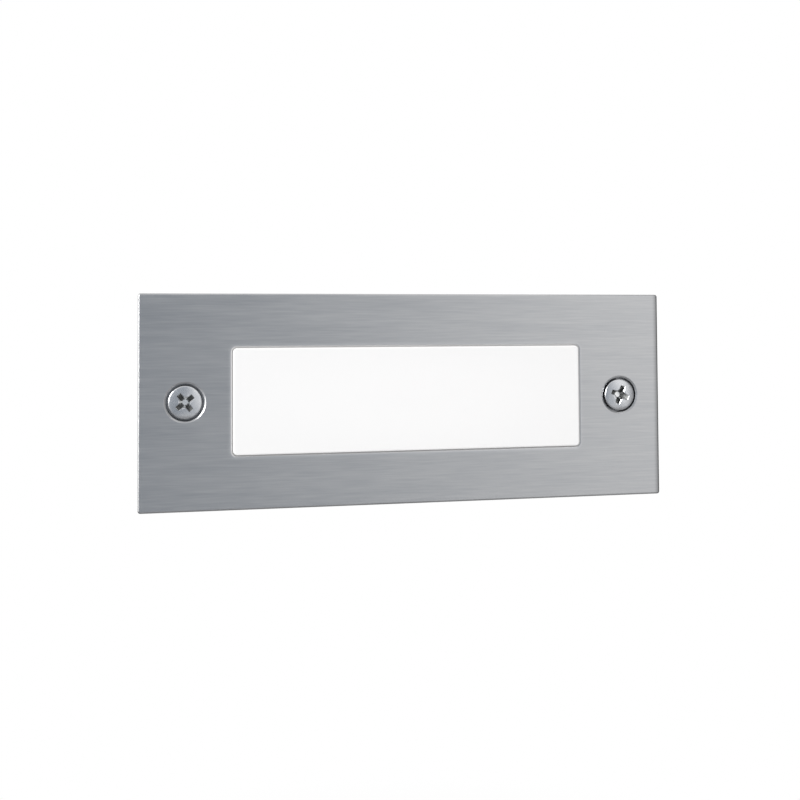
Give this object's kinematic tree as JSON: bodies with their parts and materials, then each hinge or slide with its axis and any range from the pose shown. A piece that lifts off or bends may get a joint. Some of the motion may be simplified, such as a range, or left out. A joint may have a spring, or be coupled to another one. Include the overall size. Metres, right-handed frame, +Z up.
{
  "type": "recessed wall light",
  "caption": "Recessed outdoor wall light: brushed steel face plate with a lit opal window, screwed to a moulded box set into the wall.",
  "frame": {"origin": "centre of the face plate on the wall surface, at the back of the box flange", "axes": "+X along the plate to the right as seen from the room, +Y into the wall, +Z up"},
  "size_m": [0.127, 0.0547, 0.05],
  "materials": {
    "plate_steel": "brushed along its length, satin",
    "screw_steel": "bright zinc-plated steel",
    "washer_nylon": "natural nylon",
    "gasket_foam": "closed-cell foam, matt",
    "box_plastic": "black moulded plastic, fine texture",
    "insert_brass": "turned brass",
    "diffuser_opal": "opal, satin front, lit from behind",
    "seal_silicone": "translucent silicone",
    "reflector_white": "white moulded plastic",
    "board_white": "white solder mask on an aluminium core",
    "chip_phosphor": "phosphor-filled chip",
    "pad_silicone": "grey-blue thermal pad",
    "gear_aluminium": "mill-finish sheet",
    "driver_plastic": "pale grey moulded case",
    "terminal_nylon": "natural polyamide",
    "terminal_brass": "machined brass",
    "inner_screw_steel": "zinc-plated steel",
    "grommet_rubber": "black rubber, matt",
    "wire_brown": "insulation",
    "wire_blue": "insulation",
    "wire_red": "insulation",
    "wire_black": "insulation"
  },
  "bodies": {
    "housing": {"left_screw_insert": "insert_brass", "right_screw_insert": "insert_brass", "wall_box": "box_plastic", "diffuser": "diffuser_opal", "diffuser_seal": "seal_silicone", "reflector": "reflector_white", "led_board": "board_white", "led_chips": "chip_phosphor", "board_screws": "inner_screw_steel", "thermal_pad": "pad_silicone", "gear_plate": "gear_aluminium", "gear_screws": "inner_screw_steel", "driver": "driver_plastic", "driver_screws": "inner_screw_steel", "terminal_block": "terminal_nylon", "terminal_tubes": "terminal_brass", "terminal_clamp_screws": "inner_screw_steel", "terminal_fixing_screw": "inner_screw_steel", "cable_grommet": "grommet_rubber", "live_wire": "wire_brown", "neutral_wire": "wire_blue", "led_plus_wire": "wire_red", "led_minus_wire": "wire_black"},
    "cover": {"front_plate": "plate_steel", "plate_gasket": "gasket_foam"},
    "left_washer": {"left_screw_washer": "washer_nylon"},
    "left_screw": {"left_face_screw": "screw_steel"},
    "right_washer": {"right_screw_washer": "washer_nylon"},
    "right_screw": {"right_face_screw": "screw_steel"}
  },
  "joints": [
    {"name": "cover_lift", "type": "slide", "parent": "housing", "child": "cover", "axis": [0, -1, 0], "range_m": [0, 0.04]},
    {"name": "left_screw_travel", "type": "slide", "parent": "cover", "child": "left_washer", "axis": [0, -1, 0], "range_m": [0, 0.014]},
    {"name": "left_screw_turn", "type": "hinge", "parent": "left_washer", "child": "left_screw", "pos_m": [-0.053, 0, 0], "axis": [0, -1, 0], "range_deg": [0, 7210]},
    {"name": "right_screw_travel", "type": "slide", "parent": "cover", "child": "right_washer", "axis": [0, -1, 0], "range_m": [0, 0.014]},
    {"name": "right_screw_turn", "type": "hinge", "parent": "right_washer", "child": "right_screw", "pos_m": [0.053, 0, 0], "axis": [0, -1, 0], "range_deg": [0, 7210]}
  ],
  "couplings": [
    {"joint": "left_screw_turn", "follows": "left_screw_travel", "rad_per_m": 8976},
    {"joint": "right_screw_turn", "follows": "right_screw_travel", "rad_per_m": 8976}
  ]
}
